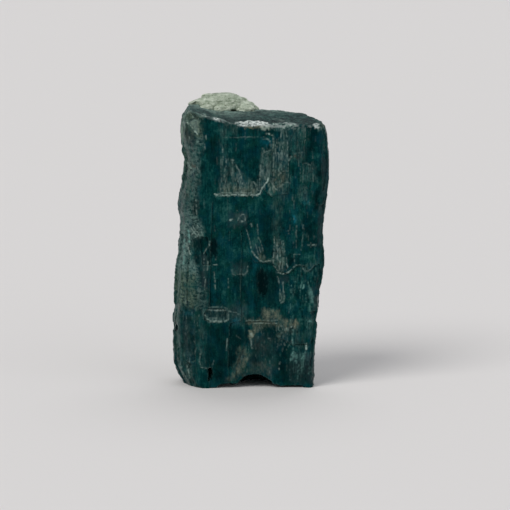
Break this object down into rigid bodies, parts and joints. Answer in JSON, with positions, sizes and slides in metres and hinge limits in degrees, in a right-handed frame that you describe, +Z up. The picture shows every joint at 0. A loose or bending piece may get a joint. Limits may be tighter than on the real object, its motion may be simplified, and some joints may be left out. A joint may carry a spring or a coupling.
{
  "type": "kyanite specimen",
  "caption": "Blocky upright natural blade of dark teal kyanite with stepped cleavage, standing on its broken end, with a pale mica crust on its upper back.",
  "frame": {"origin": "centre of the bounding box in plan, at the level of the broken base the specimen stands on", "axes": "+Z up along the blade, +X to the right and -Y forward, out of the broad front cleavage face"},
  "size_m": [0.0292, 0.0174, 0.0533],
  "materials": {
    "kyanite": "dark teal, nearly opaque, glassy on the cleavage face with pale splintery veils and vertical striations",
    "mica": "pale sage green, thin horizontal leaves with a pearly sheen and dark specks"
  },
  "bodies": {
    "root": {"kyanite_blade": "kyanite", "mica_crust": "mica"}
  },
  "joints": []
}
